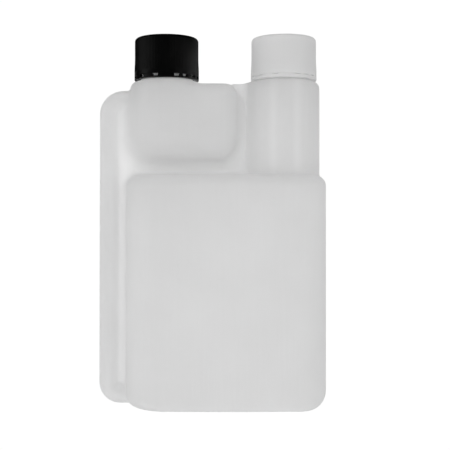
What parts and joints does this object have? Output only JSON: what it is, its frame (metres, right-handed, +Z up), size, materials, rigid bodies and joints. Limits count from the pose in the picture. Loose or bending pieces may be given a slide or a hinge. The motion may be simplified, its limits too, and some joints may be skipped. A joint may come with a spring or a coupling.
{
  "type": "twin-neck dosing bottle",
  "caption": "Blown squeeze bottle with a main chamber, a side transfer tube feeding a small dosing chamber, and screw caps on the dosing neck and the filler neck.",
  "frame": {"origin": "middle of the base, on the plane the bottle stands on", "axes": "+Z up through the necks; -Y out of the front face shown in the picture; +X towards the filler neck, so the transfer tube is on the -X side"},
  "size_m": [0.1072, 0.0544, 0.1744],
  "materials": {
    "natural_body": "natural translucent high-density polyethylene, fine satin from the blow mould",
    "black_cap": "satin black polypropylene, injection moulded, fine grip ribs",
    "natural_cap": "natural milky polypropylene, injection moulded, fine grip ribs",
    "liner_foam": "white foamed polyethylene sealing disc"
  },
  "bodies": {
    "bottle_body": {"bottle": "natural_body", "dosing_cap_tamper_ring": "black_cap", "filler_cap_tamper_ring": "natural_cap"},
    "dosing_liner_body": {"dosing_cap_liner": "liner_foam"},
    "dosing_cap_body": {"dosing_cap": "black_cap"},
    "filler_liner_body": {"filler_cap_liner": "liner_foam"},
    "filler_cap_body": {"filler_cap": "natural_cap"}
  },
  "joints": [
    {"name": "dosing_cap_lift", "type": "slide", "parent": "bottle_body", "child": "dosing_liner_body", "axis": [0, 0, 1], "range_m": [0, 0.0182]},
    {"name": "dosing_cap_turn", "type": "hinge", "parent": "dosing_liner_body", "child": "dosing_cap_body", "pos_m": [-0.02136, 0, 0.165], "axis": [0, 0, 1], "range_deg": [0, 1560]},
    {"name": "filler_cap_lift", "type": "slide", "parent": "bottle_body", "child": "filler_liner_body", "axis": [0, 0, 1], "range_m": [0, 0.0182]},
    {"name": "filler_cap_turn", "type": "hinge", "parent": "filler_liner_body", "child": "filler_cap_body", "pos_m": [0.03475, 0, 0.165], "axis": [0, 0, 1], "range_deg": [0, 1560]}
  ],
  "couplings": [
    {"joint": "dosing_cap_lift", "follows": "dosing_cap_turn", "m_per_rad": 0.00066845},
    {"joint": "filler_cap_lift", "follows": "filler_cap_turn", "m_per_rad": 0.00066845}
  ]
}
